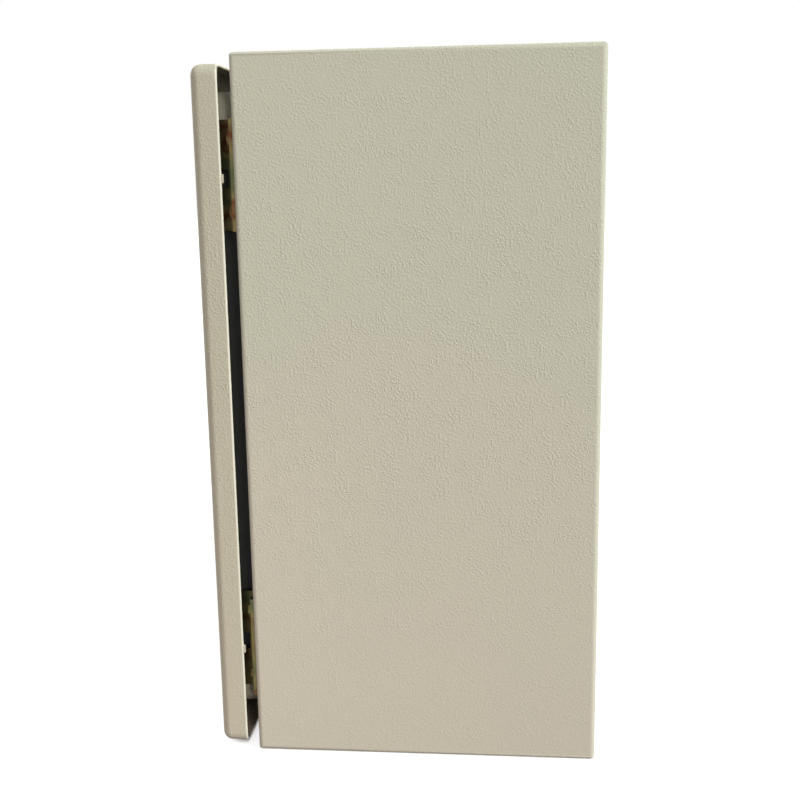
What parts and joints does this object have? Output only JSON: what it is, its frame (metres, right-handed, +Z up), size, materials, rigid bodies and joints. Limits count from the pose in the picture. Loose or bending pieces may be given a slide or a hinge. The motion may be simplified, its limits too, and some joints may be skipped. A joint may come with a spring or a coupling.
{
  "type": "wall-mount control cabinet",
  "caption": "Folded sheet-steel wall cabinet with a hinged door, cam lock, sealing gutter and a mounting plate of rail-mounted control gear.",
  "frame": {"origin": "middle of the footprint, on the surface the cabinet stands on", "axes": "+X to the right seen from the front, +Y towards the wall, +Z up"},
  "size_m": [0.3, 0.2244, 0.4],
  "materials": {
    "textured_paint": "light grey-beige powder coat with a fine orange-peel texture",
    "seal_rubber": "black EPDM, matt",
    "yellow_chromate": "steel with yellow chromated zinc, iridescent",
    "zinc_plate": "zinc-plated steel",
    "galvanised_sheet": "hot-dip galvanised sheet with a fine spangle",
    "brass_stud": "brass-coated earthing stud",
    "die_cast_zinc": "polished zinc die casting",
    "duct_plastic": "grey extruded PVC",
    "light_housing": "light grey moulded housing",
    "black_moulding": "black moulded plastic",
    "supply_housing": "dark grey moulded housing",
    "screen_glass": "black glossy screen window",
    "relay_case": "smoky clear relay cover",
    "terminal_grey": "grey polyamide",
    "terminal_blue": "blue polyamide",
    "terminal_earth": "green and yellow polyamide"
  },
  "bodies": {
    "cabinet": {"body_shell": "textured_paint", "front_frame": "textured_paint", "rear_wall": "textured_paint", "door_seal": "seal_rubber", "gland_gasket": "seal_rubber", "gland_plate": "textured_paint", "gland_studs": "zinc_plate", "gland_nuts": "zinc_plate", "upper_hinge_leaf": "yellow_chromate", "lower_hinge_leaf": "yellow_chromate", "hinge_pins": "zinc_plate", "pin_clips": "zinc_plate", "hinge_screws": "zinc_plate", "hinge_nuts": "yellow_chromate", "plate_studs": "zinc_plate", "plate_spacers": "zinc_plate", "mounting_plate": "galvanised_sheet", "plate_washers": "zinc_plate", "plate_nuts": "zinc_plate", "earth_stud": "brass_stud", "earth_nut": "zinc_plate", "upper_rail": "zinc_plate", "lower_rail": "zinc_plate", "rail_screws": "zinc_plate", "top_duct": "duct_plastic", "middle_duct": "duct_plastic", "bottom_duct": "duct_plastic", "duct_rivets": "black_moulding", "top_duct_cover": "duct_plastic", "middle_duct_cover": "duct_plastic", "bottom_duct_cover": "duct_plastic", "main_breaker": "light_housing", "first_breaker": "light_housing", "second_breaker": "light_housing", "logic_module": "supply_housing", "module_screen": "screen_glass", "power_supply": "supply_housing", "contactor": "black_moulding", "relay_sockets": "black_moulding", "first_relay": "relay_case", "second_relay": "relay_case", "grey_terminals": "terminal_grey", "blue_terminals": "terminal_blue", "earth_terminals": "terminal_earth", "end_clamps": "terminal_grey"},
    "door": {"door_panel": "textured_paint", "upper_door_leaf": "yellow_chromate", "lower_door_leaf": "yellow_chromate", "lock_housing": "die_cast_zinc", "lock_washer": "seal_rubber", "lock_nut": "zinc_plate", "door_earth_stud": "brass_stud", "door_earth_nut": "zinc_plate"},
    "lock_core": {"lock_insert": "black_moulding", "lock_cam": "zinc_plate", "cam_screw": "zinc_plate"},
    "main_toggle": {"main_toggle": "black_moulding"},
    "first_toggle": {"first_toggle": "black_moulding"},
    "second_toggle": {"second_toggle": "black_moulding"},
    "contactor_button": {"contactor_button": "light_housing"}
  },
  "joints": [
    {"name": "door_hinge", "type": "hinge", "parent": "cabinet", "child": "door", "pos_m": [0.141, -0.0983, 0.2], "axis": [0, 0, 1], "range_deg": [0, 120]},
    {"name": "lock_turn", "type": "hinge", "parent": "door", "child": "lock_core", "pos_m": [-0.105, -0.09, 0.2], "axis": [0, -1, 0], "range_deg": [0, 90]},
    {"name": "main_switch", "type": "hinge", "parent": "cabinet", "child": "main_toggle", "pos_m": [-0.084, 0.0347, 0.281], "axis": [1, 0, 0], "range_deg": [0, 76]},
    {"name": "first_switch", "type": "hinge", "parent": "cabinet", "child": "first_toggle", "pos_m": [-0.05725, 0.0347, 0.281], "axis": [1, 0, 0], "range_deg": [0, 76]},
    {"name": "second_switch", "type": "hinge", "parent": "cabinet", "child": "second_toggle", "pos_m": [-0.03925, 0.0347, 0.281], "axis": [1, 0, 0], "range_deg": [0, 76]},
    {"name": "contactor_press", "type": "slide", "parent": "cabinet", "child": "contactor_button", "axis": [0, 1, 0], "range_m": [0, 0.003], "stiffness_N_per_m": 300}
  ]
}
